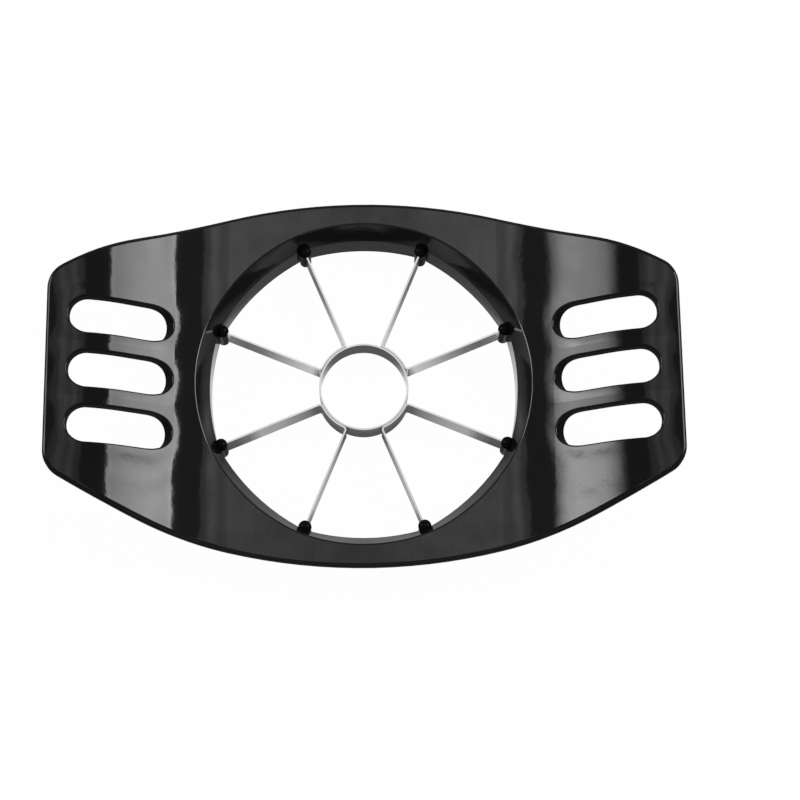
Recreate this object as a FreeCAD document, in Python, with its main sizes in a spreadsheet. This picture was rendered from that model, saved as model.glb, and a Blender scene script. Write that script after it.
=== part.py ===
import FreeCAD, Part
import math
import os

import Sketcher

# A hand-held apple slicer: a moulded frame with a raised grip at each end, a ring
# pushed up into its mouth, and a web of blades that eight ball-headed posts hold
# in that ring.
#
# Frame of the part: +Z is up, the origin is the middle of the ring's lower rim,
# which the slicer stands on, and X runs from grip to grip.

DRIVING_SIZES = {
    # the frame in plan
    "frame_length": 177.5,
    "frame_width": 107.3,
    "end_width": 55.8,
    "corner_radius": 8.0,
    "plate_thickness": 3.45,
    "deck_height": 15.6,
    "top_edge_round": 1.1,
    "under_edge_round": 0.2,
    # the rise of each wing, from the deck up to the grip
    "grip_flat": 1.7,
    "wing_rise": 16.9,
    "wing_slope": 33.6,
    "lower_bend": 39.5,
    "upper_bend": 36.5,
    # the finger slots
    "slot_width": 10.5,
    "slot_pitch": 15.75,
    "slot_length": 25.7,
    "slot_end_margin": 6.2,
    "slot_end_lean": 41.0,
    "slot_edge_round": 0.5,
    # the ribs under the bars between the slots
    "rib_width": 1.8,
    "rib_depth": 2.6,
    "rib_end_margin": 3.6,
    # the mouth, which tapers from a circle to eight shallow arcs
    "mouth_radius": 47.4,
    "mouth_depth": 6.35,
    "mouth_edge_round": 0.5,
    "throat_flat": 44.4,
    "throat_bulge": 60.0,
    # the collar round the ring, and the ring in it
    "collar_wall": 2.0,
    "ring_wall": 2.9,
    "ring_draft": 0.1,
    "ring_lip": 1.7,
    "ring_top_bevel": 0.5,
    "ring_clearance": 0.1,
    # the posts
    "post_diameter": 3.4,
    "post_inset": 0.9,
    "post_foot": 0.2,
    "ball_swell": 0.2,
    "ball_lift": -0.6,
    "post_clearance": 0.05,
    # the blades
    "sheet_thickness": 0.5,
    "blade_drop": 0.15,
    "blade_foot": 0.3,
    "blade_bevel": 0.8,
    "blade_edge": 0.12,
    "blade_grip": 0.8,
    "fold_radius": 0.9,
    "corer_radius": 12.9,
    "weld_gap": 0.12,
    "blade_clearance": 0.05,
}

BLADE_COUNT = 8
STRIP_COUNT = BLADE_COUNT // 2
SECTOR = 360.0 / BLADE_COUNT
FIRST_BLADE = SECTOR / 2.0

# Sizes that follow from the driving ones, as expressions on the sheet.
HALF_LENGTH = "Sizes.frame_length / 2"
DECK = "Sizes.deck_height"
THROAT_LEVEL = "(Sizes.deck_height - Sizes.mouth_depth)"
BULGE_BACK = "(Sizes.throat_bulge - Sizes.throat_flat)"
THROAT_CORNER = (
    f"(sqrt(Sizes.throat_bulge ^ 2 - ({BULGE_BACK} * sin({FIRST_BLADE})) ^ 2)"
    f" - {BULGE_BACK} * cos({FIRST_BLADE}))"
)
POST_CIRCLE = f"({THROAT_CORNER} - Sizes.post_inset)"
RING_RADIUS = "(Sizes.throat_flat + Sizes.ring_wall)"
COLLAR_BORE = f"({RING_RADIUS} + Sizes.ring_clearance)"
COLLAR_RADIUS = f"({COLLAR_BORE} + Sizes.collar_wall)"
BLADE_TOP = f"({THROAT_LEVEL} - Sizes.blade_drop)"
BALL_RADIUS = "(Sizes.post_diameter / 2 + Sizes.ball_swell)"
BALL_LEVEL = f"({THROAT_LEVEL} + Sizes.ball_lift)"
BLADE_HEIGHT = f"({BLADE_TOP} - Sizes.blade_foot)"
BLADE_REACH = f"({POST_CIRCLE} + Sizes.blade_grip)"
GRIP_LEVEL = "(Sizes.deck_height + Sizes.wing_rise)"
SLOT_OUTER = f"({HALF_LENGTH} - Sizes.slot_end_margin)"
SLOT_INNER = f"({SLOT_OUTER} - Sizes.slot_length)"
SLOT_TURN = f"({SLOT_INNER} + Sizes.slot_width / 2)"

# How far a cutter runs past the face it opens, and how far the taper of the mouth
# runs on above the deck, because the wings start to rise before its two sides.
OVERRUN = 1.0
MOUTH_OVERRUN = 2.0

ORIGIN = FreeCAD.Vector(0, 0, 0)
UP = FreeCAD.Vector(0, 0, 1)
AXIS_POINT = -1
X_AXIS = -1
Y_AXIS = -2
START, END, CENTRE = 1, 2, 3


def make_sheet(doc):
    """Write the driving sizes to the sheet, one alias a row."""
    sheet = doc.addObject("Spreadsheet::Sheet", "Sizes")
    for row, (alias, size) in enumerate(DRIVING_SIZES.items(), start=1):
        sheet.set(f"A{row}", alias)
        sheet.set(f"B{row}", str(size))
        sheet.setAlias(f"B{row}", alias)
    doc.recompute()
    return sheet


def polar(radius, degrees, centre=ORIGIN):
    """The point at a radius and angle round a centre."""
    angle = math.radians(degrees)
    return centre + FreeCAD.Vector(radius * math.cos(angle), radius * math.sin(angle), 0)


def toward(distance, degrees):
    """The two coordinates, as expressions, of a point out at an angle."""
    return f"{distance} * cos({degrees})", f"{distance} * sin({degrees})"


def origin_plane(body, role):
    """One of the body's own three origin planes."""
    return next(item for item in body.Origin.OriginFeatures if item.Role == role)


class Profile:
    """A sketch whose constraints take their values from expressions on the sheet."""

    def __init__(self, body, name, plane="XY_Plane", lift=None):
        self.sketch = body.newObject("Sketcher::SketchObject", name)
        self.sketch.AttachmentSupport = [(origin_plane(body, plane), "")]
        self.sketch.MapMode = "FlatFace"
        if lift is not None:
            self.sketch.setExpression("AttachmentOffset.Base.z", lift)

    def value(self, expression):
        """The number that an expression stands for now."""
        return float(self.sketch.evalExpression(expression))

    def line(self, start, end):
        """Draw a straight edge."""
        return self.sketch.addGeometry(Part.LineSegment(start, end))

    def arc(self, centre, radius, start, end):
        """Draw an arc, counter-clockwise from start to end, in degrees."""
        circle = Part.Circle(centre, UP, radius)
        return self.sketch.addGeometry(
            Part.ArcOfCircle(circle, math.radians(start), math.radians(end))
        )

    def circle(self, radius, centre=ORIGIN):
        """Draw a full circle."""
        return self.sketch.addGeometry(Part.Circle(centre, UP, radius))

    def tie(self, kind, *items):
        """Add a constraint that has no size."""
        return self.sketch.addConstraint(Sketcher.Constraint(kind, *items))

    def measure(self, kind, expression, *items):
        """Add a constraint whose size is an expression."""
        size = self.value(expression)
        if kind == "Angle":
            size = math.radians(size)
            expression = f"({expression}) * 1 deg"
        index = self.sketch.addConstraint(Sketcher.Constraint(kind, *items, size))
        self.sketch.setExpression(f"Constraints[{index}]", expression)
        return index

    def join(self, edges):
        """Close a ring of edges, end to start."""
        for edge, following in zip(edges, edges[1:] + edges[:1]):
            self.tie("Coincident", edge, END, following, START)

    def fix_point(self, edge, point, across, along):
        """Place a point by its two coordinates."""
        self.measure("DistanceX", across, AXIS_POINT, 1, edge, point)
        self.measure("DistanceY", along, AXIS_POINT, 1, edge, point)


def add_pad(body, name, profile, length, midplane=False, downward=False):
    """Grow a profile into a solid."""
    pad = body.newObject("PartDesign::Pad", name)
    pad.Profile = profile.sketch
    pad.setExpression("Length", length)
    pad.Midplane = midplane
    pad.Reversed = downward
    return pad


def add_pocket(body, name, profile, length, downward=True):
    """Cut a profile out of the body."""
    pocket = body.newObject("PartDesign::Pocket", name)
    pocket.Profile = profile.sketch
    pocket.setExpression("Length", length)
    pocket.Reversed = not downward
    return pocket


def add_mirror(body, name, features, plane):
    """Repeat features on the other side of an origin plane."""
    mirror = body.newObject("PartDesign::Mirrored", name)
    mirror.Originals = features
    mirror.MirrorPlane = (origin_plane(body, plane), [""])
    body.Tip = mirror
    return mirror


def add_polar(body, name, features, count):
    """Repeat features round the upright axis."""
    pattern = body.newObject("PartDesign::PolarPattern", name)
    pattern.Originals = features
    pattern.Axis = (next(i for i in body.Origin.OriginFeatures if i.Role == "Z_Axis"), [""])
    pattern.Angle = 360.0
    pattern.Occurrences = count
    body.Tip = pattern
    return pattern


def steepness(face, point):
    """How far a face looks up at a point: 1 is level, 0 is upright, -1 is an underside."""
    u, v = face.Surface.parameter(point)
    return face.normalAt(u, v).z


def rim_edges(shape, looking, inside):
    """Name the edges where a level face meets a wall, at the places that a test takes.

    looking is 1 for the top of the part and -1 for its underside.
    """
    names = []
    for index, edge in enumerate(shape.Edges, start=1):
        middle = edge.valueAt((edge.FirstParameter + edge.LastParameter) / 2)
        if not inside(middle):
            continue
        slopes = [looking * steepness(face, middle) for face in shape.ancestorsOfType(edge, Part.Face)]
        if len(slopes) == 2 and max(slopes) > 0.75 and min(slopes) < 0.7:
            names.append(f"Edge{index}")
    return names


def add_round(body, name, edge_names, radius):
    """Round named edges of the body's tip."""
    tip = body.Tip
    fillet = body.newObject("PartDesign::Fillet", name)
    fillet.Base = (tip, edge_names)
    fillet.setExpression("Radius", radius)
    return fillet


def wing_band(body, name, upper, lower, reach, aside=None):
    """Draw half of a band that follows the deck and the wing, seen from the front.

    upper and lower are the depths of its two faces below the top of the deck, reach
    is where it ends, and aside is how far in front of the middle it is drawn.
    """
    band = Profile(body, name, "XZ_Plane", aside)
    slope = band.value("Sizes.wing_slope")
    rise = band.value("Sizes.wing_rise")
    low = band.value("Sizes.lower_bend")
    high = band.value("Sizes.upper_bend")
    deck = band.value(DECK)
    turned = math.radians(slope)
    wing_end = band.value(f"{HALF_LENGTH} - Sizes.grip_flat")
    climb = rise - (low + high) * (1 - math.cos(turned))
    wing_start = wing_end - (low + high) * math.sin(turned) - climb / math.tan(turned)
    low_centre = FreeCAD.Vector(wing_start, deck + low, 0)
    high_centre = FreeCAD.Vector(wing_end, deck + rise - high, 0)

    def face(depth):
        """The five edges of one face, from the middle out."""
        low_radius = low + depth
        high_radius = high - depth
        inner = polar(low_radius, -90 + slope, low_centre)
        outer = polar(high_radius, 90 + slope, high_centre)
        start = FreeCAD.Vector(0, deck - depth, 0)
        finish = FreeCAD.Vector(band.value(reach), deck + rise - depth, 0)
        edges = [
            band.line(start, polar(low_radius, -90, low_centre)),
            band.arc(low_centre, low_radius, -90, -90 + slope),
            band.line(inner, outer),
            band.arc(high_centre, high_radius, 90, 90 + slope),
            band.line(polar(high_radius, 90, high_centre), finish),
        ]
        deck_line, low_arc, ramp, high_arc, grip_line = edges
        band.tie("Horizontal", deck_line)
        band.tie("Horizontal", grip_line)
        band.tie("Tangent", deck_line, END, low_arc, START)
        band.tie("Tangent", low_arc, END, ramp, START)
        band.tie("Tangent", ramp, END, high_arc, END)
        band.tie("Tangent", high_arc, START, grip_line, START)
        band.tie("PointOnObject", deck_line, START, Y_AXIS)
        return edges

    top = face(band.value(upper))
    under = face(band.value(lower))
    middle = band.line(FreeCAD.Vector(0, deck - band.value(lower), 0),
                       FreeCAD.Vector(0, deck - band.value(upper), 0))
    end_x = band.value(reach)
    tip = band.line(FreeCAD.Vector(end_x, deck + rise - band.value(upper), 0),
                    FreeCAD.Vector(end_x, deck + rise - band.value(lower), 0))
    band.tie("Coincident", middle, START, under[0], START)
    band.tie("Coincident", middle, END, top[0], START)
    band.tie("Coincident", tip, START, top[4], END)
    band.tie("Coincident", tip, END, under[4], END)
    band.tie("Vertical", tip)
    band.tie("Coincident", top[1], CENTRE, under[1], CENTRE)
    band.tie("Coincident", top[3], CENTRE, under[3], CENTRE)
    band.tie("Parallel", top[2], under[2])
    band.measure("DistanceY", f"{DECK} - {upper}", AXIS_POINT, 1, top[0], START)
    band.measure("DistanceY", f"{DECK} - {lower}", AXIS_POINT, 1, under[0], START)
    band.measure("Radius", f"Sizes.lower_bend + {upper}", top[1])
    band.measure("Radius", f"Sizes.upper_bend - {upper}", top[3])
    band.measure("DistanceY", "Sizes.wing_rise", top[0], START, top[4], END)
    band.measure("Angle", "Sizes.wing_slope", top[2])
    band.measure("DistanceX", f"{HALF_LENGTH} - Sizes.grip_flat", AXIS_POINT, 1, top[3], START)
    band.measure("DistanceX", reach, AXIS_POINT, 1, tip, START)
    return band


def plan_outline(body, name):
    """Draw the waste round the frame's plan: a margin outside, the outline inside."""
    plan = Profile(body, name)
    half_length = plan.value(HALF_LENGTH)
    half_width = plan.value("Sizes.frame_width / 2")
    half_end = plan.value("Sizes.end_width / 2")
    sagitta = half_width - half_end
    radius = (half_length ** 2 + sagitta ** 2) / (2 * sagitta)
    sweep = math.degrees(math.asin(half_length / radius))
    centre = FreeCAD.Vector(0, half_width - radius, 0)
    right_foot = FreeCAD.Vector(half_length, -half_end, 0)
    left_head = FreeCAD.Vector(-half_length, half_end, 0)
    right = plan.line(right_foot, FreeCAD.Vector(half_length, half_end, 0))
    far = plan.arc(centre, radius, 90 - sweep, 90 + sweep)
    left = plan.line(left_head, FreeCAD.Vector(-half_length, -half_end, 0))
    near = plan.arc(-centre, radius, 270 - sweep, 270 + sweep)
    plan.join([right, far, left, near])
    plan.measure("DistanceX", HALF_LENGTH, AXIS_POINT, 1, right, END)
    plan.measure("DistanceY", "Sizes.end_width / 2", AXIS_POINT, 1, right, END)
    plan.tie("Symmetric", right, END, right, START, X_AXIS)
    plan.tie("Symmetric", right, END, left, START, Y_AXIS)
    plan.tie("Symmetric", left, START, left, END, X_AXIS)
    arc_radius = (
        "((Sizes.frame_length / 2) ^ 2 + ((Sizes.frame_width - Sizes.end_width) / 2) ^ 2)"
        " / (Sizes.frame_width - Sizes.end_width)"
    )
    plan.measure("Radius", arc_radius, far)
    plan.measure("Radius", arc_radius, near)
    margin = "(Sizes.frame_length / 2 + 10)"
    edge = plan.value(margin)
    corners = [FreeCAD.Vector(x * edge, y * edge, 0) for x, y in ((1, 1), (-1, 1), (-1, -1), (1, -1))]
    sides = [plan.line(corners[i], corners[(i + 1) % 4]) for i in range(4)]
    plan.join(sides)
    for side, direction in zip(sides, ("Horizontal", "Vertical", "Horizontal", "Vertical")):
        plan.tie(direction, side)
    plan.fix_point(sides[0], START, margin, margin)
    plan.fix_point(sides[2], START, f"-{margin}", f"-{margin}")
    return plan


def throat_outline(body, name, lift, flat):
    """Draw the inside of the ring: eight shallow arcs that meet at the posts.

    flat is the distance from the middle of the ring to the middle of each arc.
    """
    throat = Profile(body, name, lift=lift)
    bulge = throat.value("Sizes.throat_bulge")
    back = bulge - throat.value(flat)
    half = math.radians(SECTOR / 2)
    corner = math.sqrt(bulge ** 2 - (back * math.sin(half)) ** 2) - back * math.cos(half)
    sweep = math.degrees(math.asin(corner * math.sin(half) / bulge))
    arcs = []
    for index in range(BLADE_COUNT):
        facing = index * SECTOR
        arc = throat.arc(polar(-back, facing), bulge, facing - sweep, facing + sweep)
        reach = f"-(Sizes.throat_bulge - {flat})"
        throat.measure("Radius", "Sizes.throat_bulge", arc)
        throat.fix_point(arc, CENTRE, f"{reach} * cos({facing})", f"{reach} * sin({facing})")
        arcs.append(arc)
    throat.join(arcs)
    return throat


def round_outline(body, name, radius, lift, across=None):
    """Draw one circle, on the upright axis or out at the first blade."""
    outline = Profile(body, name, lift=lift)
    if across is None:
        circle = outline.circle(outline.value(radius))
        outline.tie("Coincident", circle, CENTRE, AXIS_POINT, 1)
    else:
        place = polar(outline.value(across), FIRST_BLADE)
        circle = outline.circle(outline.value(radius), place)
        outline.fix_point(circle, CENTRE, *toward(across, FIRST_BLADE))
    outline.measure("Radius", radius, circle)
    return outline


def slot_outline(body, name, lift, reach, across):
    """Draw a slot that runs along X, with a round outer end and half an oval inside.

    reach is how far the inner end runs in from the middle of its oval.
    """
    slot = Profile(body, name, lift=lift)
    radius = slot.value("Sizes.slot_width / 2")
    middle = slot.value(across)
    long = slot.value(reach)
    turn = FreeCAD.Vector(slot.value(SLOT_TURN), middle, 0)
    far = FreeCAD.Vector(slot.value(SLOT_OUTER) - radius, middle, 0)
    aside = FreeCAD.Vector(0, radius, 0)
    low = slot.line(turn - aside, far - aside)
    right = slot.arc(far, radius, -90, 90)
    high = slot.line(far + aside, turn + aside)
    inward = FreeCAD.Vector(long, 0, 0)
    if long > radius:
        oval, first, last = Part.Ellipse(turn + inward, turn + aside, turn), 90, 270
    else:
        oval, first, last = Part.Ellipse(turn + aside, turn - inward, turn), 0, 180
    left = slot.sketch.addGeometry(Part.ArcOfEllipse(oval, math.radians(first), math.radians(last)))
    slot.sketch.exposeInternalGeometry(left)
    slot.tie("Tangent", low, END, right, START)
    slot.tie("Tangent", right, END, high, START)
    slot.tie("Coincident", high, END, left, START)
    slot.tie("Coincident", left, END, low, START)
    slot.tie("Horizontal", low)
    slot.tie("Horizontal", high)
    slot.tie("Vertical", left, START, left, CENTRE)
    slot.tie("Vertical", left, END, left, CENTRE)
    slot.fix_point(left, CENTRE, SLOT_TURN, across)
    major, minor = left + 1, left + 2
    along, wide = (major, minor) if long > radius else (minor, major)
    slot.tie("Horizontal", along)
    slot.measure("Distance", f"2 * {reach}", along)
    slot.measure("Distance", "Sizes.slot_width", wide)
    slot.measure("DistanceX", f"{SLOT_OUTER} - Sizes.slot_width / 2", AXIS_POINT, 1, right, CENTRE)
    return slot


def ball_recess(body):
    """Hollow out the seats of the eight ball heads."""
    ball = body.newObject("PartDesign::SubtractiveSphere", "BallSeat")
    ball.AttachmentSupport = [(origin_plane(body, "XY_Plane"), "")]
    ball.MapMode = "FlatFace"
    across, along = toward(POST_CIRCLE, FIRST_BLADE)
    ball.setExpression("AttachmentOffset.Base.x", across)
    ball.setExpression("AttachmentOffset.Base.y", along)
    ball.setExpression("AttachmentOffset.Base.z", BALL_LEVEL)
    ball.setExpression("Radius", f"{BALL_RADIUS} + Sizes.post_clearance")
    body.Tip = ball
    add_polar(body, "BallSeats", [ball], BLADE_COUNT)


def cut_slots(body):
    """Open the finger slots: upright walls, but an inner end that leans with the ramp."""
    lean = "tan(Sizes.slot_end_lean)"
    upper_reach = f"(Sizes.slot_width / 2 + (Sizes.wing_rise + {OVERRUN}) * {lean})"
    lower_reach = f"(Sizes.slot_width / 2 - (Sizes.plate_thickness + {OVERRUN}) * {lean})"
    slots = []
    for index in (-1, 0, 1):
        across = f"({index} * Sizes.slot_pitch)"
        label = ("Near", "Middle", "Far")[index + 1]
        top = slot_outline(body, f"{label}SlotTop", f"{GRIP_LEVEL} + {OVERRUN}", upper_reach, across)
        foot = f"{DECK} - Sizes.plate_thickness - {OVERRUN}"
        low = slot_outline(body, f"{label}SlotFoot", foot, lower_reach, across)
        slot = body.newObject("PartDesign::SubtractiveLoft", f"{label}Slot")
        slot.Profile = low.sketch
        slot.Sections = [top.sketch]
        slot.Ruled = True
        slots.append(slot)
    add_mirror(body, "OtherSlots", slots, "YZ_Plane")


def cut_mouth(body):
    """Open the mouth: a taper down to the throat, and the bore that takes the ring."""
    taper = "(Sizes.mouth_radius - Sizes.throat_flat) / Sizes.mouth_depth"
    top_radius = f"(Sizes.mouth_radius + {MOUTH_OVERRUN} * {taper})"
    top_level = f"{DECK} + {MOUTH_OVERRUN}"
    low = throat_outline(body, "Throat", THROAT_LEVEL, "Sizes.throat_flat")
    top = round_outline(body, "MouthTop", top_radius, top_level)
    mouth = body.newObject("PartDesign::SubtractiveLoft", "Mouth")
    mouth.Profile = low.sketch
    mouth.Sections = [top.sketch]
    mouth.Ruled = True
    above = round_outline(body, "AboveMouth", top_radius, top_level)
    add_pocket(body, "ClearAbove", above, "Sizes.wing_rise", downward=False)
    bore = round_outline(body, "RingBore", COLLAR_BORE, THROAT_LEVEL)
    add_pocket(body, "RingSeat", bore, THROAT_LEVEL)


def build_handle_frame(doc):
    """The moulded frame: deck, wings, finger slots, mouth, collar and ribs."""
    body = doc.addObject("PartDesign::Body", "handle_frame")
    half_length = DRIVING_SIZES["frame_length"] / 2
    section = wing_band(body, "WingSection", "0", "Sizes.plate_thickness", f"{HALF_LENGTH} + {OVERRUN}")
    wing = add_pad(body, "Wing", section, f"Sizes.frame_width + {2 * OVERRUN}", midplane=True)
    add_mirror(body, "OtherWing", [wing], "YZ_Plane")
    add_pocket(body, "Outline", plan_outline(body, "Plan"), f"{GRIP_LEVEL} + {OVERRUN}", downward=False)
    doc.recompute()

    def is_corner(edge):
        upright = abs(edge.Vertexes[0].X - edge.Vertexes[-1].X) < 0.01
        upright = upright and abs(edge.Vertexes[0].Y - edge.Vertexes[-1].Y) < 0.01
        return upright and abs(edge.Vertexes[0].X) > half_length - 0.01

    corners = [f"Edge{i}" for i, edge in enumerate(body.Tip.Shape.Edges, start=1) if is_corner(edge)]
    add_round(body, "Corners", corners, "Sizes.corner_radius")
    doc.recompute()
    top_rim = rim_edges(body.Tip.Shape, 1, lambda point: True)
    add_round(body, "TopRound", top_rim, "Sizes.top_edge_round")
    doc.recompute()
    under_rim = rim_edges(body.Tip.Shape, -1, lambda point: True)
    add_round(body, "UnderRound", under_rim, "Sizes.under_edge_round")
    cut_slots(body)
    doc.recompute()
    inside = DRIVING_SIZES["mouth_radius"]
    slot_rim = rim_edges(body.Tip.Shape, 1, lambda point: True)
    add_round(body, "SlotRound", slot_rim, "Sizes.slot_edge_round")

    ribs = []
    for side in (-1, 1):
        rib_section = wing_band(
            body,
            f"RibSection{side + 2}",
            "(Sizes.plate_thickness - Sizes.under_edge_round)",
            "(Sizes.plate_thickness + Sizes.rib_depth)",
            f"{HALF_LENGTH} - Sizes.rib_end_margin",
            f"{side} * Sizes.slot_pitch / 2",
        )
        ribs.append(add_pad(body, f"Rib{side + 2}", rib_section, "Sizes.rib_width", midplane=True))
    add_mirror(body, "OtherRibs", ribs, "YZ_Plane")

    collar_foot = "(Sizes.ring_lip + Sizes.ring_clearance)"
    collar = round_outline(body, "CollarOutline", COLLAR_RADIUS, collar_foot)
    add_pad(body, "Collar", collar, f"{DECK} - Sizes.plate_thickness / 2 - {collar_foot}")
    cut_mouth(body)
    doc.recompute()
    mouth_rim = rim_edges(body.Tip.Shape, 1, lambda point: math.hypot(point.x, point.y) < inside + 1)
    add_round(body, "MouthRound", mouth_rim, "Sizes.mouth_edge_round")
    ball_recess(body)
    return body


def build_blade_ring(doc):
    """The ring that holds the posts: a lip, eight shallow arcs inside, eight seats."""
    body = doc.addObject("PartDesign::Body", "blade_ring")
    add_pad(body, "Wall", round_outline(body, "RingOutline", RING_RADIUS, "0"), THROAT_LEVEL)
    add_pad(body, "Lip", round_outline(body, "LipOutline", COLLAR_RADIUS, "0"), "Sizes.ring_lip")
    low = throat_outline(body, "ThroatFoot", "0", "(Sizes.throat_flat - Sizes.ring_draft)")
    top = throat_outline(body, "ThroatTop", THROAT_LEVEL, "Sizes.throat_flat")
    throat = body.newObject("PartDesign::SubtractiveLoft", "Throat")
    throat.Profile = low.sketch
    throat.Sections = [top.sketch]
    throat.Ruled = True
    doc.recompute()
    ring_radius = low.value(RING_RADIUS)
    inner_rim = rim_edges(throat.Shape, 1, lambda p: math.hypot(p.x, p.y) < ring_radius - 0.5)
    bevel = body.newObject("PartDesign::Chamfer", "TopBevel")
    bevel.Base = (throat, inner_rim)
    bevel.setExpression("Size", "Sizes.ring_top_bevel")
    seat_radius = "(Sizes.post_diameter / 2 + Sizes.post_clearance)"
    seat = round_outline(body, "SeatOutline", seat_radius, THROAT_LEVEL, POST_CIRCLE)
    first_seat = add_pocket(body, "Seat", seat, THROAT_LEVEL)
    add_polar(body, "Seats", [first_seat], BLADE_COUNT)
    ball_recess(body)
    return body


def blade_section(body, name, plane, lift, across):
    """Draw the upright section of a blade: square on top, ground to an edge below.

    The ground side is the one toward the middle of the ring, before the sheet is folded.
    """
    section = Profile(body, name, plane, lift)
    middle = section.value(across)
    half = section.value("Sizes.sheet_thickness / 2")
    high = section.value(BLADE_TOP)
    low = section.value("Sizes.blade_foot")
    edge = section.value("Sizes.blade_edge")
    bevel = section.value("Sizes.blade_bevel")
    corners = [
        FreeCAD.Vector(middle + half, high, 0),
        FreeCAD.Vector(middle + half, low, 0),
        FreeCAD.Vector(middle + half - edge, low, 0),
        FreeCAD.Vector(middle - half, low + bevel, 0),
        FreeCAD.Vector(middle - half, high, 0),
    ]
    sides = [section.line(corners[i], corners[(i + 1) % 5]) for i in range(5)]
    section.join(sides)
    back, edge_land, ground, front, top = sides
    section.tie("Vertical", back)
    section.tie("Horizontal", edge_land)
    section.tie("Vertical", front)
    section.tie("Horizontal", top)
    section.fix_point(back, START, f"{across} + Sizes.sheet_thickness / 2", BLADE_TOP)
    section.measure("DistanceX", "Sizes.sheet_thickness", top, START, top, END)
    section.measure("DistanceY", BLADE_HEIGHT, back, END, back, START)
    section.measure("DistanceX", "Sizes.blade_edge", edge_land, END, edge_land, START)
    section.measure("DistanceY", "Sizes.blade_bevel", ground, START, ground, END)
    return section


def build_corer_ring(doc):
    """The ring of sheet in the middle, which takes out the core."""
    body = doc.addObject("PartDesign::Body", "corer_ring")
    middle = "(Sizes.corer_radius - Sizes.sheet_thickness / 2)"
    section = blade_section(body, "Section", "XZ_Plane", None, middle)
    turned = body.newObject("PartDesign::Revolution", "Turned")
    turned.Profile = section.sketch
    turned.ReferenceAxis = (section.sketch, ["V_Axis"])
    turned.Angle = 360.0
    return body


def strip_path(body):
    """Draw the run of a folded strip: an arm, a fold, round the corer, a fold, an arm."""
    path = Profile(body, "Path")
    reach = path.value(BLADE_REACH)
    wrap = "(Sizes.corer_radius + Sizes.weld_gap + Sizes.sheet_thickness / 2)"
    hug_radius = path.value(wrap)
    fold = path.value("Sizes.fold_radius")
    centre_radius = hug_radius + fold
    swing = math.degrees(math.asin(fold / centre_radius))
    foot = centre_radius * math.cos(math.radians(swing))
    first_arm = path.line(FreeCAD.Vector(reach, 0, 0), FreeCAD.Vector(foot, 0, 0))
    first_fold = path.arc(polar(centre_radius, swing), fold, 180 + swing, 270)
    hug = path.arc(ORIGIN, hug_radius, swing, SECTOR - swing)
    far_turn = 180 + SECTOR - swing
    second_fold = path.arc(polar(centre_radius, SECTOR - swing), fold, 90 + SECTOR, far_turn)
    second_arm = path.line(polar(foot, SECTOR), polar(reach, SECTOR))
    path.tie("Tangent", first_arm, END, first_fold, END)
    path.tie("Tangent", first_fold, START, hug, START)
    path.tie("Tangent", hug, END, second_fold, END)
    path.tie("Tangent", second_fold, START, second_arm, START)
    path.tie("PointOnObject", first_arm, START, X_AXIS)
    path.tie("Horizontal", first_arm)
    path.tie("Coincident", hug, CENTRE, AXIS_POINT, 1)
    path.measure("DistanceX", BLADE_REACH, AXIS_POINT, 1, first_arm, START)
    path.measure("Radius", wrap, hug)
    path.measure("Radius", "Sizes.fold_radius", first_fold)
    path.measure("Radius", "Sizes.fold_radius", second_fold)
    path.fix_point(second_arm, END, *toward(BLADE_REACH, SECTOR))
    path.tie("PointOnObject", AXIS_POINT, 1, second_arm)
    return path


def build_blade_strip(doc, number):
    """One folded strip, which makes two neighbouring blades."""
    body = doc.addObject("PartDesign::Body", f"blade_strip_{number}")
    path = strip_path(body)
    section = blade_section(body, "Section", "YZ_Plane", BLADE_REACH, "0")
    strip = body.newObject("PartDesign::AdditivePipe", "Strip")
    strip.Profile = section.sketch
    strip.Spine = path.sketch
    strip.Mode = "Standard"
    facing = FIRST_BLADE + (number - 1) * 2 * SECTOR
    body.Placement = FreeCAD.Placement(ORIGIN, FreeCAD.Rotation(UP, facing))
    return body


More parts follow.
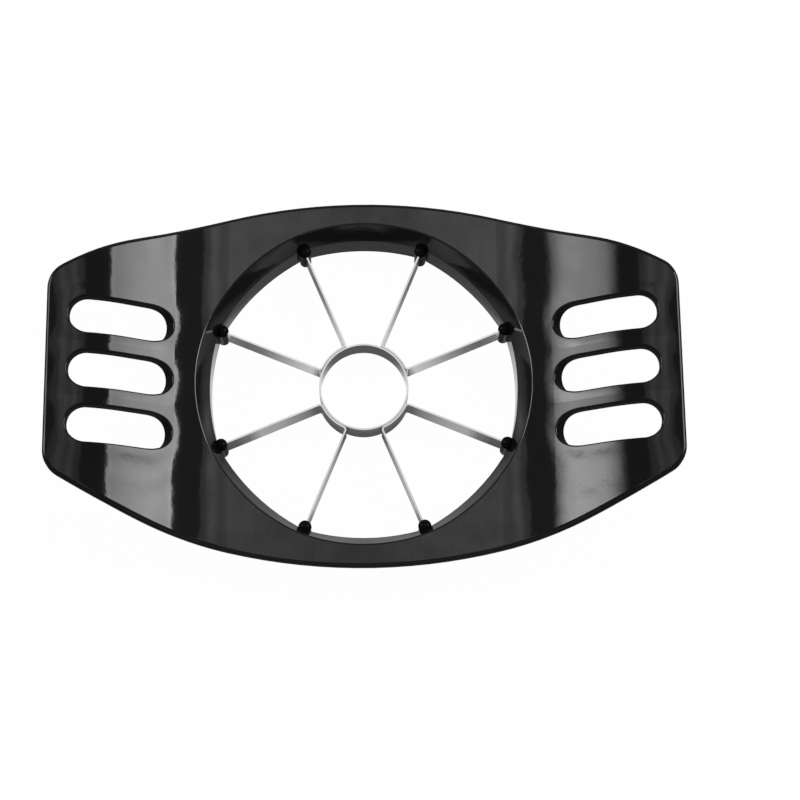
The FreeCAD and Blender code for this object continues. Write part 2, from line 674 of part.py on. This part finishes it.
def build_blade_post(doc, number):
    """One post: a shank with a ball on top, slit from below for the end of a blade."""
    body = doc.addObject("PartDesign::Body", f"blade_post_{number}")
    outline = Profile(body, "PostOutline", "XZ_Plane")
    shank = outline.value("Sizes.post_diameter / 2")
    ball = outline.value(BALL_RADIUS)
    foot = outline.value("Sizes.post_foot")
    level = outline.value(BALL_LEVEL)
    neck = level - math.sqrt(ball ** 2 - shank ** 2)
    turn = math.degrees(math.asin((neck - level) / ball))
    bottom = outline.line(FreeCAD.Vector(0, foot, 0), FreeCAD.Vector(shank, foot, 0))
    side = outline.line(FreeCAD.Vector(shank, foot, 0), FreeCAD.Vector(shank, neck, 0))
    dome = outline.arc(FreeCAD.Vector(0, level, 0), ball, turn, 90)
    axis = outline.line(FreeCAD.Vector(0, level + ball, 0), FreeCAD.Vector(0, foot, 0))
    outline.join([bottom, side, dome, axis])
    outline.tie("Horizontal", bottom)
    outline.tie("Vertical", side)
    outline.tie("PointOnObject", axis, END, Y_AXIS)
    outline.tie("PointOnObject", dome, CENTRE, Y_AXIS)
    outline.tie("PointOnObject", dome, END, Y_AXIS)
    outline.measure("DistanceX", "Sizes.post_diameter / 2", bottom, START, bottom, END)
    outline.measure("DistanceY", "Sizes.post_foot", AXIS_POINT, 1, bottom, START)
    outline.measure("DistanceY", BALL_LEVEL, AXIS_POINT, 1, dome, CENTRE)
    outline.measure("Radius", BALL_RADIUS, dome)
    turned = body.newObject("PartDesign::Revolution", "Turned")
    turned.Profile = outline.sketch
    turned.ReferenceAxis = (outline.sketch, ["V_Axis"])
    turned.Angle = 360.0

    slit = Profile(body, "SlitOutline", lift="0")
    width = slit.value("Sizes.sheet_thickness / 2 + Sizes.blade_clearance")
    depth = slit.value("Sizes.blade_grip + Sizes.blade_clearance")
    mouth = -slit.value(f"{BALL_RADIUS} + {OVERRUN}")
    corners = [(mouth, -width), (depth, -width), (depth, width), (mouth, width)]
    points = [FreeCAD.Vector(x, y, 0) for x, y in corners]
    near, end, far, opening = [slit.line(points[i], points[(i + 1) % 4]) for i in range(4)]
    slit.join([near, end, far, opening])
    for line, direction in ((near, "Horizontal"), (end, "Vertical"), (far, "Horizontal"), (opening, "Vertical")):
        slit.tie(direction, line)
    half_slit = "(Sizes.sheet_thickness / 2 + Sizes.blade_clearance)"
    slit.fix_point(end, START, "Sizes.blade_grip + Sizes.blade_clearance", f"-{half_slit}")
    slit.fix_point(opening, START, f"-({BALL_RADIUS} + {OVERRUN})", half_slit)
    add_pocket(body, "Slit", slit, f"{BLADE_TOP} + Sizes.blade_clearance", downward=False)

    facing = FIRST_BLADE + (number - 1) * SECTOR
    body.Placement = FreeCAD.Placement(polar(outline.value(POST_CIRCLE), facing), FreeCAD.Rotation(UP, facing))
    across, along = toward(POST_CIRCLE, facing)
    body.setExpression("Placement.Base.x", across)
    body.setExpression("Placement.Base.y", along)
    return body


def check_objects(doc, bodies):
    """Stop if any object of the document failed, or any body isn't one sound solid."""
    for item in doc.Objects:
        if {"Invalid", "Error"} & set(item.State):
            raise RuntimeError(f"{item.Name} did not build: {item.State}")
    for body in bodies:
        shape = body.Shape
        if shape.isNull() or not shape.isValid() or len(shape.Solids) != 1:
            raise RuntimeError(f"{body.Label} is not one sound solid")


def main():
    """Build every piece, check it and write it."""
    doc = FreeCAD.newDocument("apple_slicer")
    make_sheet(doc)
    bodies = [build_handle_frame(doc), build_blade_ring(doc), build_corer_ring(doc)]
    bodies += [build_blade_strip(doc, number) for number in range(1, STRIP_COUNT + 1)]
    bodies += [build_blade_post(doc, number) for number in range(1, BLADE_COUNT + 1)]
    doc.recompute()
    check_objects(doc, bodies)
    os.makedirs("parts", exist_ok=True)
    for body in bodies:
        body.Shape.exportStep(f"parts/{body.Label}.step")


main()
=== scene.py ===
import logging
import math
from dataclasses import dataclass
from enum import Enum
from typing import Any, Mapping, Sequence, Union

import bpy
from mathutils import Matrix, Vector

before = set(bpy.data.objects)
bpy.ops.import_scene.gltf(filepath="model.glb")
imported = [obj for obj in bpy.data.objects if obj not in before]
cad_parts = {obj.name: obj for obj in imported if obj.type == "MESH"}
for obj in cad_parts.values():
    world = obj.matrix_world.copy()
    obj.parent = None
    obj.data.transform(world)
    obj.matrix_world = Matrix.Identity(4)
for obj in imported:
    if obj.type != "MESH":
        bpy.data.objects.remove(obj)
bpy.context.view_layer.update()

log = logging.getLogger("apple_slicer")

MM = 0.001
DECK_HEIGHT = 15.6 * MM
NOISE_MIDDLE = 0.5

Number = Union[int, float]
Colour = tuple[float, float, float]
Stops = Sequence[tuple[float, float]]

WHITE: Colour = (1.0, 1.0, 1.0)


class Term:
    """One output socket of a node tree, with arithmetic that adds Math nodes."""

    def __init__(self, shop: "NodeShop", socket: bpy.types.NodeSocket) -> None:
        """Remember the socket and the shop that it belongs to."""
        self.shop = shop
        self.socket = socket

    def _maths(self, operation: str, first: "Value", second: "Value" = 0.0) -> "Term":
        """Add one Math node and take its result."""
        return self.shop.term("ShaderNodeMath", {"operation": operation}, {0: first, 1: second})

    def __add__(self, other: "Value") -> "Term":
        """Add."""
        return self._maths("ADD", self, other)

    __radd__ = __add__

    def __sub__(self, other: "Value") -> "Term":
        """Subtract."""
        return self._maths("SUBTRACT", self, other)

    def __rsub__(self, other: "Value") -> "Term":
        """Subtract from."""
        return self._maths("SUBTRACT", other, self)

    def __mul__(self, other: "Value") -> "Term":
        """Multiply."""
        return self._maths("MULTIPLY", self, other)

    __rmul__ = __mul__

    def __truediv__(self, other: "Value") -> "Term":
        """Divide."""
        return self._maths("DIVIDE", self, other)

    def __rtruediv__(self, other: "Value") -> "Term":
        """Divide into."""
        return self._maths("DIVIDE", other, self)

    def __pow__(self, other: "Value") -> "Term":
        """Raise to a power."""
        return self._maths("POWER", self, other)

    def __rpow__(self, other: "Value") -> "Term":
        """Be the power of a number."""
        return self._maths("POWER", other, self)

    def __abs__(self) -> "Term":
        """Drop the sign."""
        return self._maths("ABSOLUTE", self)

    def least(self, other: "Value") -> "Term":
        """Take the smaller of two."""
        return self._maths("MINIMUM", self, other)

    def most(self, other: "Value") -> "Term":
        """Take the larger of two."""
        return self._maths("MAXIMUM", self, other)

    def clamped(self) -> "Term":
        """Hold the value between 0 and 1."""
        return self.shop.term("ShaderNodeClamp", {}, {"Value": self})

    def between(self, start: Number, end: Number) -> "Term":
        """How far the value has gone from start to end, held between 0 and 1."""
        return ((self - start) / (end - start)).clamped()

    def eased(self) -> "Term":
        """Level off a value between 0 and 1 at both its ends."""
        return self * self * (3.0 - 2.0 * self)

    def bell(self, width: Number) -> "Term":
        """A bell curve of the value, 1 at 0 and fading over a width."""
        return math.e ** (-1.0 * (self / width) ** 2.0)


Value = Union[Number, Term]


@dataclass(frozen=True)
class Pattern:
    """A smooth random pattern: its broadest features' size in metres and how its finer layers add up."""

    cell: float
    detail: float = 3.0
    roughness: float = 0.5


class NodeShop:
    """Adds nodes to one node tree.

    The four numbers are where a Mix node has its mask, its two colours and its blended colour.
    """

    MIX_MASK = 0
    MIX_FIRST = 6
    MIX_SECOND = 7
    MIX_RESULT = 2

    def __init__(self, tree: bpy.types.NodeTree) -> None:
        """Clear the tree."""
        self.tree = tree
        tree.nodes.clear()

    @staticmethod
    def _grade(ramp: bpy.types.ColorRamp, stops: Stops) -> None:
        """Set a ramp's grey stops.

        Args:
            ramp: The ramp.
            stops: Place and grey of each stop, from 0 to 1.
        """
        while len(ramp.elements) < len(stops):
            ramp.elements.new(1.0)
        for element, (place, grey) in zip(ramp.elements, stops):
            element.position = place
            element.color = (grey, grey, grey, 1.0)

    def add(self, kind: str, settings: Mapping[str, Any], sockets: Mapping[Any, Any]) -> bpy.types.Node:
        """Add one node.

        Args:
            kind: The node's type.
            settings: Its own properties, set first. "stops" sets a ramp's stops.
            sockets: Input name or index to a value or a term.

        Returns:
            The node.
        """
        made = self.tree.nodes.new(kind)
        for key, value in settings.items():
            if key == "stops":
                self._grade(made.color_ramp, value)
            else:
                setattr(made, key, value)
        for key, value in sockets.items():
            socket = made.inputs[key]
            if isinstance(value, Term):
                self.tree.links.new(value.socket, socket)
            elif socket.type == "RGBA":
                socket.default_value = (*value, 1.0)
            else:
                socket.default_value = value
        return made

    def term(
        self, kind: str, settings: Mapping[str, Any], sockets: Mapping[Any, Any], output: Union[int, str] = 0
    ) -> Term:
        """Add one node as add does, and take one of its outputs by name or index."""
        return Term(self, self.add(kind, settings, sockets).outputs[output])

    def mixed(self, mask: Value, first: Union[Colour, Term], second: Union[Colour, Term]) -> Term:
        """Blend two colours: a mask of 0 gives the first, 1 the second."""
        sockets = {self.MIX_MASK: mask, self.MIX_FIRST: first, self.MIX_SECOND: second}
        return self.term("ShaderNodeMix", {"data_type": "RGBA"}, sockets, self.MIX_RESULT)

    def shaded(self, mask: Value, colour: Colour, darkest: float, lightest: float) -> Term:
        """Vary a colour by a mask, from its darkest share to its lightest, with no channel above 1."""
        shades = [tuple(min(1.0, share * channel) for channel in colour) for share in (darkest, lightest)]
        return self.mixed(mask, *shades)

    def graded(self, stops: Stops, value: Term) -> Term:
        """Read a grey off a ramp at a value."""
        return self.term("ShaderNodeValToRGB", {"stops": stops}, {"Fac": value})

    def place(self) -> Term:
        """The surface point in the object's own metres."""
        return self.term("ShaderNodeTexCoord", {}, {}, "Object")

    def scaled(self, where: Term, scale: tuple[float, float, float]) -> Term:
        """A place, multiplied along each axis."""
        return self.term("ShaderNodeVectorMath", {"operation": "MULTIPLY"}, {0: where, 1: scale})

    def length(self, where: Term) -> Term:
        """How far a place is from the origin."""
        return self.term("ShaderNodeVectorMath", {"operation": "LENGTH"}, {0: where}, "Value")

    def axes(self, where: Term) -> tuple[Term, Term, Term]:
        """Split a place or direction into its three coordinates."""
        made = self.add("ShaderNodeSeparateXYZ", {}, {"Vector": where})
        return Term(self, made.outputs[0]), Term(self, made.outputs[1]), Term(self, made.outputs[2])

    def noise(self, where: Term, pattern: Pattern) -> Term:
        """Read a pattern at a place, as a value around NOISE_MIDDLE."""
        layers = {"Scale": 1.0 / pattern.cell, "Detail": pattern.detail, "Roughness": pattern.roughness}
        return self.term("ShaderNodeTexNoise", {"noise_dimensions": "3D"}, {"Vector": where, **layers})

    def bump(self, height: Term, distance: float) -> Term:
        """Turn a height into a normal, where a height of 1 is so many metres."""
        sockets = {"Height": height, "Strength": 1.0, "Distance": distance}
        return self.term("ShaderNodeBump", {}, sockets, "Normal")


def new_material(name: str) -> tuple[bpy.types.Material, NodeShop]:
    """Make a material with an empty tree.

    Args:
        name: The material's name.

    Returns:
        The material and the shop that fills its tree.
    """
    material = bpy.data.materials.new(name)
    material.use_nodes = True
    return material, NodeShop(material.node_tree)


@dataclass(frozen=True)
class MouldedPlastic:
    """Glossy black plastic from a polished mould, a little duller where it is handled."""

    name: str = "black_moulding"
    colour: Colour = (0.0062, 0.0062, 0.0066)
    darkest: float = 0.85
    lightest: float = 1.25
    gloss: float = 0.07
    dust_dulling: float = 0.03
    polished_index: float = 1.56
    handled_index: float = 1.40
    least_polish: float = 0.2
    polish_spread: float = 0.8
    wave_height: float = 0.30 * MM
    ripple_share: float = 0.10
    waves: Pattern = Pattern(13.0 * MM, detail=1.0, roughness=0.3)
    ripples: Pattern = Pattern(3.0 * MM, detail=2.0)
    smears: Pattern = Pattern(9.0 * MM)
    dust: Pattern = Pattern(1.1 * MM, roughness=0.6)

    def height(self, shop: NodeShop, where: Term) -> Term:
        """The moulding's slow waves and finer ripples, as a share of wave_height."""
        return shop.noise(where, self.waves) + self.ripple_share * shop.noise(where, self.ripples)

    def smeared(self, shop: NodeShop, where: Term) -> Term:
        """How much polish the smears leave, not yet held between 0 and 1."""
        return self.least_polish + self.polish_spread * shop.noise(where, self.smears)

    def polish(self, shop: NodeShop, where: Term) -> Term:
        """How much of the mould's polish is left, from 0, handled, to 1, as moulded."""
        return self.smeared(shop, where).clamped()

    def skin(self, shop: NodeShop, index: float, sockets: Mapping[str, Any]) -> Term:
        """One state of the surface, at its own index of refraction."""
        return shop.term("ShaderNodeBsdfPrincipled", {}, {**sockets, "IOR": index})

    def build(self) -> bpy.types.Material:
        """Make the material.

        Returns:
            A near-black gloss with the waves, smears and dust of a handled moulding.
        """
        material, shop = new_material(self.name)
        where = shop.place()
        dust = shop.noise(where, self.dust)
        sockets = {
            "Base Color": shop.shaded(dust, self.colour, self.darkest, self.lightest),
            "Roughness": self.gloss + self.dust_dulling * dust,
            "Normal": shop.bump(self.height(shop, where), self.wave_height),
        }
        handled = self.skin(shop, self.handled_index, sockets)
        polished = self.skin(shop, self.polished_index, sockets)
        shader = shop.term("ShaderNodeMixShader", {}, {0: self.polish(shop, where), 1: handled, 2: polished})
        shop.add("ShaderNodeOutputMaterial", {}, {"Surface": shader})
        return material


@dataclass(frozen=True)
class SlottedPlastic(MouldedPlastic):
    """The same plastic, drawn up a little round the finger slots and handled at its two ends."""

    name: str = "black_slotted_moulding"
    least_polish: float = 0.3
    polish_spread: float = 1.05
    handled_from: float = 59.0 * MM
    handled_to: float = 71.0 * MM
    slot_pitch: float = 15.75 * MM
    slot_half_width: float = 5.25 * MM
    slot_inner: float = 61.5 * MM
    slot_outer: float = 77.3 * MM
    rim_height: float = 0.27 * MM
    rim_spread: float = 4.0 * MM
    dip_depth: float = 0.45 * MM
    dip_from: float = 64.0 * MM
    dip_to: float = 80.0 * MM

    def height(self, shop: NodeShop, where: Term) -> Term:
        """The moulding's waves, the raised rim of each slot and the dip towards the two tips.

        Args:
            shop: The shop of the material's tree.
            where: The surface point.

        Returns:
            The height, as a share of wave_height.
        """
        out, across, _ = shop.axes(where)
        along, row = abs(out), abs(across)
        beyond = (self.slot_inner - along).most(along - self.slot_outer).most(0.0)
        aside = row.least(abs(row - self.slot_pitch))
        gap = ((beyond ** 2.0 + aside ** 2.0) ** 0.5 - self.slot_half_width).most(0.0)
        rim = self.rim_height * gap.bell(self.rim_spread)
        dip = self.dip_depth * along.between(self.dip_from, self.dip_to).eased()
        return super().height(shop, where) + (rim - dip) / self.wave_height

    def polish(self, shop: NodeShop, where: Term) -> Term:
        """How much polish is left, less towards the tips where fingers rub.

        Args:
            shop: The shop of the material's tree.
            where: The surface point.

        Returns:
            A mask from 0, handled, to 1, as moulded.
        """
        out, _, _ = shop.axes(where)
        kept = abs(out).between(self.handled_to, self.handled_from)
        return (kept * self.smeared(shop, where)).clamped()


@dataclass(frozen=True)
class StainlessSheet:
    """Rolled stainless sheet with a fine grain along its length."""

    name: str = "stainless_sheet"
    colour: Colour = (0.82, 0.82, 0.81)
    darkest: float = 0.66
    lightest: float = 1.22
    roughness: float = 0.20
    grain_roughness: float = 0.16
    grain_height: float = 0.02 * MM
    grain_share: float = 0.65
    grain_stretch: float = 16.0
    grain: Pattern = Pattern(9.0 * MM, detail=4.0, roughness=0.65)
    cloud: Pattern = Pattern(8.0 * MM, detail=2.0)

    def build(self) -> bpy.types.Material:
        """Make the material.

        Returns:
            A satin metal with level grain lines.
        """
        material, shop = new_material(self.name)
        where = shop.place()
        grain = shop.noise(shop.scaled(where, (1.0, 1.0, self.grain_stretch)), self.grain)
        cloud = shop.noise(where, self.cloud)
        streaks = (self.grain_share * grain + (1.0 - self.grain_share) * cloud).clamped()
        sockets = {
            "Base Color": shop.shaded(streaks, self.colour, self.darkest, self.lightest),
            "Metallic": 1.0,
            "Roughness": self.roughness + self.grain_roughness * (grain - NOISE_MIDDLE),
            "Normal": shop.bump(grain, self.grain_height),
        }
        shader = shop.term("ShaderNodeBsdfPrincipled", {}, sockets)
        shop.add("ShaderNodeOutputMaterial", {}, {"Surface": shader})
        return material


def dress(node: str, material: bpy.types.Material) -> None:
    """Give a CAD node its finish.

    Args:
        node: The node's name.
        material: The only material that it wears.
    """
    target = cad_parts[node]
    target.data.materials.clear()
    target.data.materials.append(material)
    log.info("%s is dressed in %s", node, material.name)


@dataclass
class HandleFrame:
    """The moulded frame with its two slotted grips."""

    node: str = "handle_frame"
    finish: MouldedPlastic = SlottedPlastic()

    def build(self) -> None:
        """Dress the frame."""
        dress(self.node, self.finish.build())


@dataclass
class BladeRing:
    """The ring in the mouth and the ball-headed posts that stand in it.

    The posts' gloss is held low, so that they stay as dark as the corners they stand in.
    """

    node: str = "blade_ring"
    post: str = "blade_post_"
    posts: int = 8
    finish: MouldedPlastic = MouldedPlastic()
    post_finish: MouldedPlastic = MouldedPlastic(
        name="black_post_moulding", polished_index=1.14, handled_index=1.10
    )

    def build(self) -> None:
        """Dress the ring and each post."""
        dress(self.node, self.finish.build())
        black = self.post_finish.build()
        for number in range(1, self.posts + 1):
            dress(f"{self.post}{number}", black)


@dataclass
class BladeWeb:
    """The coring ring and the four folded strips that make the eight blades."""

    corer: str = "corer_ring"
    strip: str = "blade_strip_"
    strips: int = 4
    finish: StainlessSheet = StainlessSheet()

    def build(self) -> None:
        """Dress the coring ring and each strip."""
        steel = self.finish.build()
        dress(self.corer, steel)
        for number in range(1, self.strips + 1):
            dress(f"{self.strip}{number}", steel)


class Side(Enum):
    """The places round the slicer where a lamp hangs."""

    LEFT = -1
    OVERHEAD = 0
    RIGHT = 1


@dataclass(frozen=True)
class Panel:
    """A large flat lamp that faces the middle of the deck and fades across and along itself.

    It leans out to its side by an angle from upright, and reaches from near to far along Y. A stop's
    place is a share of the lamp's width or length.
    """

    side: Side
    radiance: float
    lean: float
    width: float
    near: float
    far: float
    across: Stops
    along: Stops
    distance: float = 1.0

    def hang(self) -> None:
        """Make the lamp."""
        name = f"{self.side.name.lower()}_panel"
        data = bpy.data.lights.new(name, "AREA")
        data.shape = "RECTANGLE"
        data.size, data.size_y = self.width, self.far - self.near
        data.energy = self.radiance * math.pi * data.size * data.size_y
        data.use_nodes = True
        shop = NodeShop(data.node_tree)
        over, up, _ = shop.axes(shop.term("ShaderNodeNewGeometry", {}, {}, "Parametric"))
        fade = shop.graded(self.across, over) * shop.graded(self.along, up)
        glow = shop.term("ShaderNodeEmission", {}, {"Color": fade, "Strength": 1.0})
        shop.add("ShaderNodeOutputLight", {}, {"Surface": glow})
        lamp = bpy.data.objects.new(name, data)
        bpy.context.scene.collection.objects.link(lamp)
        angle = self.side.value * self.lean
        above = DECK_HEIGHT + self.distance * math.cos(angle)
        lamp.location = (self.distance * math.sin(angle), (self.near + self.far) / 2, above)
        lamp.rotation_euler = (0.0, angle, 0.0)
        log.info("%s hung", name)


RIGHT_PANEL = Panel(
    side=Side.RIGHT,
    radiance=7.7,
    lean=math.radians(56.0),
    width=0.70,
    near=0.02,
    far=0.62,
    across=(
        (0.0, 0.0), (0.04, 1.0), (0.09, 1.0), (0.14, 0.82),
        (0.5, 0.84), (0.64, 0.86), (0.8, 0.5), (1.0, 0.0),
    ),
    along=((0.0, 0.0), (0.18, 0.9), (0.30, 1.0), (0.385, 0.80), (0.55, 0.86), (0.9, 0.86), (1.0, 0.0)),
)
LEFT_PANEL = Panel(
    side=Side.LEFT,
    radiance=7.2,
    lean=math.radians(56.0),
    width=0.90,
    near=0.02,
    far=0.62,
    across=(
        (0.0, 0.0), (0.25, 0.6), (0.4, 1.0), (0.52, 0.97),
        (0.65, 0.88), (0.79, 0.55), (0.93, 0.11), (1.0, 0.0),
    ),
    along=((0.0, 0.0), (0.18, 0.9), (0.30, 1.0), (0.395, 0.54), (0.55, 0.60), (0.9, 0.60), (1.0, 0.0)),
)
OVERHEAD_PANEL = Panel(
    side=Side.OVERHEAD,
    radiance=1.2,
    lean=0.0,
    width=0.54,
    near=-0.40,
    far=0.50,
    across=(
        (0.0, 0.0), (0.03, 0.38), (0.15, 0.42), (0.30, 1.0), (0.5, 0.55),
        (0.70, 1.0), (0.85, 0.42), (0.97, 0.38), (1.0, 0.0),
    ),
    along=(
        (0.0, 0.0), (0.06, 0.6), (0.6, 0.7), (0.69, 0.82),
        (0.76, 0.96), (0.85, 1.0), (0.97, 1.0), (1.0, 0.0),
    ),
)


@dataclass(frozen=True)
class PaintedMouthLight:
    """Painted light on the floor, seen only in the gloss of what stands on it: a pool of light under the
    mouth and close to its walls, with painted shade in its near corners.

    A stop's place is the distance from the mouth's middle, as a share of its radius.
    """

    radius: float = 47.0 * MM
    around: float = 0.05
    reach: float = 23.0 * MM
    fade: float = 7.0 * MM
    turn_over: float = 6.0 * MM
    side_power: float = 8.0
    corner_power: float = 4.0
    corner_from: float = 0.68
    corner_to: float = 0.76
    # Levels of the painted light across the far half, the near half and the two sides.
    far_half: Stops = (
        (0.0, 0.04), (0.24, 0.06), (0.30, 0.05), (0.36, 0.60), (0.43, 0.52),
        (0.55, 0.34), (0.69, 0.16), (0.80, 0.11), (0.93, 0.17),
    )
    near_half: Stops = (
        (0.0, 0.04), (0.24, 0.06), (0.30, 0.05), (0.37, 0.18), (0.43, 0.24),
        (0.56, 0.36), (0.78, 0.42), (0.84, 0.20), (0.93, 0.17),
    )
    sides: Stops = ((0.18, 0.0), (0.22, 1.0), (0.275, 1.0), (0.30, 0.0), (0.915, 0.0), (0.935, 0.85))

    def level(self, shop: NodeShop, ray_length: Term) -> Term:
        """Work out the painted light.

        Args:
            shop: The shop of the floor's tree.
            ray_length: How far the floor is from what shows it.

        Returns:
            Painted light, brighter towards the mouth's two sides, with painted shade in its near corners,
            and even past the reach.
        """
        where = shop.place()
        out, back, _ = shop.axes(where)
        away = shop.length(where)
        ring, sideways = away / self.radius, abs(out / away)
        inside = away.between(self.radius + self.fade / 2, self.radius - self.fade / 2)
        close = ray_length.between(self.reach + self.fade / 2, self.reach - self.fade / 2)
        behind = back.between(-self.turn_over / 2, self.turn_over / 2)
        corner = ring.between(self.corner_from, self.corner_to) * sideways ** self.corner_power
        near = shop.graded(self.near_half, ring) * (1.0 - corner)
        far = shop.graded(self.far_half, ring)
        beside = shop.graded(self.sides, ring) * sideways ** self.side_power
        # An even painted level everywhere, plus the painted pool of light within the mouth and within the
        # reach.
        return self.around + inside * close * (near + (far - near) * behind + beside)


@dataclass(frozen=True)
class Floor:
    """A pale floor, white to the camera and mirrored by what stands close to it, with painted light under
    the mouth that only gloss shows.
    """

    size: float = 8.0
    drop: float = 0.1 * MM
    colour: Colour = (0.86, 0.86, 0.86)
    whiteness: float = 0.985
    painted_mouth_light: PaintedMouthLight = PaintedMouthLight()

    def finish(self) -> bpy.types.Material:
        """Make the floor's material.

        Returns:
            A matt grey that glows to the camera and in gloss.
        """
        material, shop = new_material("floor")
        path = shop.add("ShaderNodeLightPath", {}, {})
        seen = Term(shop, path.outputs["Is Camera Ray"])
        mirrored = Term(shop, path.outputs["Is Glossy Ray"])
        # The painted pool of light and shade, which glossy rays see in place of the floor's own lighting.
        mouth = self.painted_mouth_light.level(shop, Term(shop, path.outputs["Ray Length"]))
        matt = shop.term("ShaderNodeBsdfDiffuse", {}, {"Color": self.colour})
        tint = shop.mixed(seen, mouth, WHITE)
        glow = shop.term("ShaderNodeEmission", {}, {"Color": tint, "Strength": 1.0})
        share = seen * self.whiteness + mirrored
        shader = shop.term("ShaderNodeMixShader", {}, {0: share, 1: matt, 2: glow})
        shop.add("ShaderNodeOutputMaterial", {}, {"Surface": shader})
        return material

    def lay(self) -> None:
        """Make the floor."""
        half = self.size / 2
        corners = [(-half, -half, 0), (half, -half, 0), (half, half, 0), (-half, half, 0)]
        mesh = bpy.data.meshes.new("floor")
        mesh.from_pydata(corners, [], [(0, 1, 2, 3)])
        mesh.materials.append(self.finish())
        floor = bpy.data.objects.new("floor", mesh)
        floor.location.z = -self.drop
        bpy.context.scene.collection.objects.link(floor)
        log.info("floor laid")


@dataclass(frozen=True)
class Room:
    """A dim room round the lamps, brighter towards its horizon and white to the camera."""

    overhead: float = 0.13
    horizon: float = 0.5
    horizon_power: float = 3.0

    def fill(self) -> None:
        """Set the world."""
        world = bpy.data.worlds.new("room")
        bpy.context.scene.world = world
        world.use_nodes = True
        shop = NodeShop(world.node_tree)
        _, _, height = shop.axes(shop.term("ShaderNodeTexCoord", {}, {}, "Generated"))
        level = self.overhead + (self.horizon - self.overhead) * (1.0 - abs(height)) ** self.horizon_power
        seen = shop.term("ShaderNodeLightPath", {}, {}, "Is Camera Ray")
        colour = shop.mixed(seen, level, WHITE)
        shader = shop.term("ShaderNodeBackground", {}, {"Color": colour, "Strength": 1.0})
        shop.add("ShaderNodeOutputWorld", {}, {"Surface": shader})
        log.info("room filled")


@dataclass(frozen=True)
class CameraStand:
    """The camera, over the slicer and a little to its near side, turned about the deck's middle."""

    distance: float = 603.3 * MM
    tilt: float = math.radians(15.48)
    turn: float = math.radians(-0.43)
    lens: float = 95.148
    shift: tuple[float, float] = (0.04525, -0.0243)
    nearest: float = 10.0 * MM

    def set(self) -> None:
        """Make the camera and use it."""
        data = bpy.data.cameras.new("camera")
        data.lens = self.lens
        data.shift_x, data.shift_y = self.shift
        data.clip_start = self.nearest
        camera = bpy.data.objects.new("camera", data)
        bpy.context.scene.collection.objects.link(camera)
        away = Vector((0.0, -math.sin(self.tilt), math.cos(self.tilt))) * self.distance
        camera.location = Matrix.Rotation(self.turn, 4, "Z") @ away + Vector((0.0, 0.0, DECK_HEIGHT))
        camera.rotation_euler = (self.tilt, 0.0, self.turn)
        bpy.context.scene.camera = camera
        log.info("camera set")


@dataclass(frozen=True)
class Studio:
    """The floor, the room, the lamps and the camera."""

    floor: Floor = Floor()
    room: Room = Room()
    panels: tuple[Panel, ...] = (RIGHT_PANEL, LEFT_PANEL, OVERHEAD_PANEL)
    stand: CameraStand = CameraStand()

    def build(self) -> None:
        """Set up everything round the slicer."""
        self.floor.lay()
        self.room.fill()
        for panel in self.panels:
            panel.hang()
        self.stand.set()
        bpy.context.scene.view_settings.view_transform = "Standard"


def main() -> None:
    """Build the slicer and the studio."""
    logging.basicConfig(level=logging.INFO, format="%(name)s: %(message)s")
    HandleFrame().build()
    BladeRing().build()
    BladeWeb().build()
    Studio().build()


if __name__ == "__main__":
    main()
